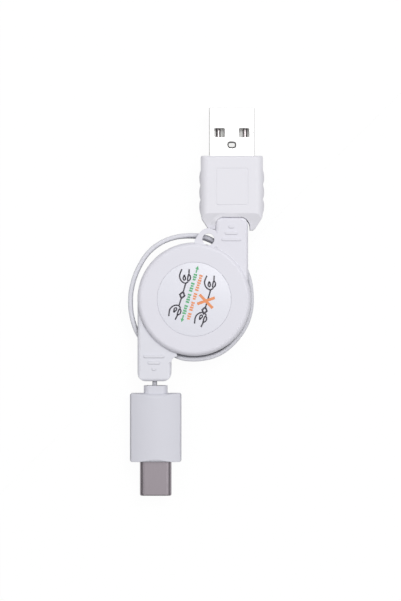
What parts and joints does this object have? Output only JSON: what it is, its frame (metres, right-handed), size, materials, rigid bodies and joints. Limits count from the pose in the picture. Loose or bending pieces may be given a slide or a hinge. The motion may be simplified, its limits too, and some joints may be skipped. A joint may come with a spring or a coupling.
{
  "type": "retractable charging cable",
  "caption": "Retractable flat charging cable: a sprung reel in a round casing with two arms, a USB-A plug docked on one and a USB-C plug docked on the other",
  "frame": {"origin": "middle of the casing's flat rear face, on the reel's axis", "axes": "+Y towards the USB-A plug, +Z out of the casing's front, +X to the right seen from the front"},
  "size_m": [0.0355, 0.1013, 0.0099],
  "materials": {
    "casing_white": "satin",
    "casing_cool_white": "satin",
    "label_print": "matte",
    "cable_jacket": "satin",
    "reel_plastic": "matte",
    "spring_steel": "brushed",
    "ball_steel": "polished",
    "grip_white": "satin",
    "grip_grey": "satin",
    "plated_shell": "plated",
    "nickel_shell": "plated",
    "contact_gold": "polished",
    "insulator_white": "matte",
    "insulator_black": "matte",
    "inner_mould": "matte",
    "board_laminate": "matte",
    "resistor_body": "matte"
  },
  "bodies": {
    "casing": {"front_shell": "casing_white", "rear_shell": "casing_cool_white", "front_label": "label_print", "cable_lead_a": "cable_jacket", "cable_lead_c": "cable_jacket"},
    "reel": {"spool": "reel_plastic", "spool_cap": "reel_plastic", "cable_coil": "cable_jacket", "power_spring": "spring_steel"},
    "latch": {"latch_ball": "ball_steel"},
    "usb_a": {"usb_a_grip": "grip_white", "usb_a_core": "inner_mould", "usb_a_shell": "plated_shell", "usb_a_tongue": "insulator_white", "usb_a_contact_1": "contact_gold", "usb_a_contact_2": "contact_gold", "usb_a_contact_3": "contact_gold", "usb_a_contact_4": "contact_gold"},
    "usb_c": {"usb_c_grip": "grip_grey", "usb_c_core": "inner_mould", "usb_c_shell": "nickel_shell", "usb_c_housing": "insulator_black", "usb_c_upper_contacts": "contact_gold", "usb_c_lower_contacts": "contact_gold", "usb_c_latch": "spring_steel", "usb_c_board": "board_laminate", "usb_c_resistor": "resistor_body"}
  },
  "joints": [
    {"name": "usb_a_pull", "type": "slide", "parent": "casing", "child": "usb_a", "axis": [0, 1, 0], "range_m": [0, 0.15], "stiffness_N_per_m": 5, "springref_m": -0.1},
    {"name": "usb_c_pull", "type": "slide", "parent": "casing", "child": "usb_c", "axis": [0, -1, 0], "range_m": [0, 0.15]},
    {"name": "spool_spin", "type": "hinge", "parent": "casing", "child": "reel", "pos_m": [0, 0, 0.0035], "axis": [0, 0, 1], "range_deg": [0, 982], "deforming": ["power_spring"]},
    {"name": "latch_slide", "type": "slide", "parent": "casing", "child": "latch", "axis": [-1, 0, 0], "range_m": [-0.00025, 0.00025]}
  ],
  "couplings": [
    {"joint": "usb_c_pull", "follows": "usb_a_pull", "ratio": 1},
    {"joint": "spool_spin", "follows": "usb_a_pull", "rad_per_m": 114.2}
  ]
}
